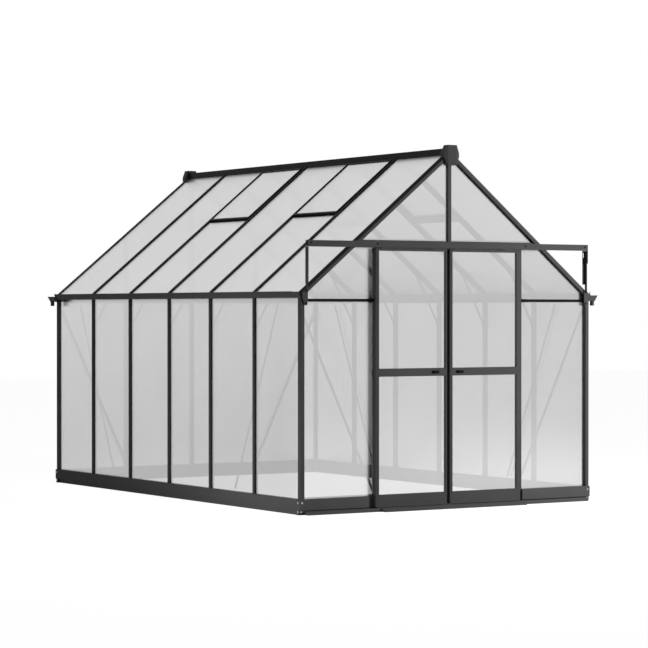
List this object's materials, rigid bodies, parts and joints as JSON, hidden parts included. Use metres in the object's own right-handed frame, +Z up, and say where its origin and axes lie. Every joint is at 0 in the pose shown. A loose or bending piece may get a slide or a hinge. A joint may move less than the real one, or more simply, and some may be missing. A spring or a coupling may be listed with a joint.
{
  "type": "polycarbonate greenhouse",
  "caption": "Walk-in garden greenhouse with a dark metal frame, translucent twin-wall panels, a gabled roof with vents, gutters and a pair of sliding doors over a low ramp.",
  "frame": {"origin": "middle of the doorway, on the ground, in the plane of the front end frame", "axes": "+X runs to the right along the front seen from outside, +Y runs back along the sides, +Z is up"},
  "size_m": [2.566, 3.806, 2.494],
  "materials": {
    "frame": "anthracite powder coat, fine satin",
    "base": "anthracite powder coat on folded sheet",
    "panel": "translucent twin-wall sheet with fine upright flutes",
    "brace": "dark coated flat steel",
    "seal": "black brush and rubber strip",
    "moulding": "dark moulded plastic"
  },
  "bodies": {
    "house": {"base_sides": "base", "base_ends": "base", "base_corners": "base", "threshold": "base", "door_track": "base", "ramp": "base", "corner_posts": "frame", "posts_left": "frame", "posts_right": "frame", "rear_posts": "frame", "door_portal": "frame", "gable_mullion": "frame", "gutter_left": "frame", "gutter_right": "frame", "gutter_ends": "moulding", "ridge_beam": "frame", "ridge_caps": "moulding", "rafters_left": "frame", "rafters_right": "frame", "vent_trimmers": "frame", "front_verge": "frame", "rear_verge": "frame", "header_beam": "frame", "header_fascia": "frame", "header_struts": "frame", "eave_rails": "frame", "gable_bars": "frame", "wall_panels_left": "panel", "wall_panels_right": "panel", "front_panels": "panel", "rear_panels": "panel", "front_gable_panels": "panel", "roof_panels_left": "panel", "roof_panels_right": "panel", "vent_frames": "frame", "vent_panels": "panel", "wall_braces": "brace", "knee_braces": "brace"},
    "door_left": {"door_left_frame": "frame", "door_left_panels": "panel", "door_left_seal": "seal", "door_left_handle": "moulding"},
    "door_right": {"door_right_frame": "frame", "door_right_panels": "panel", "door_right_handle": "moulding"}
  },
  "joints": [
    {"name": "door_left_slide", "type": "slide", "parent": "house", "child": "door_left", "axis": [-1, 0, 0], "range_m": [0, 0.52]},
    {"name": "door_right_slide", "type": "slide", "parent": "house", "child": "door_right", "axis": [1, 0, 0], "range_m": [0, 0.56]}
  ]
}
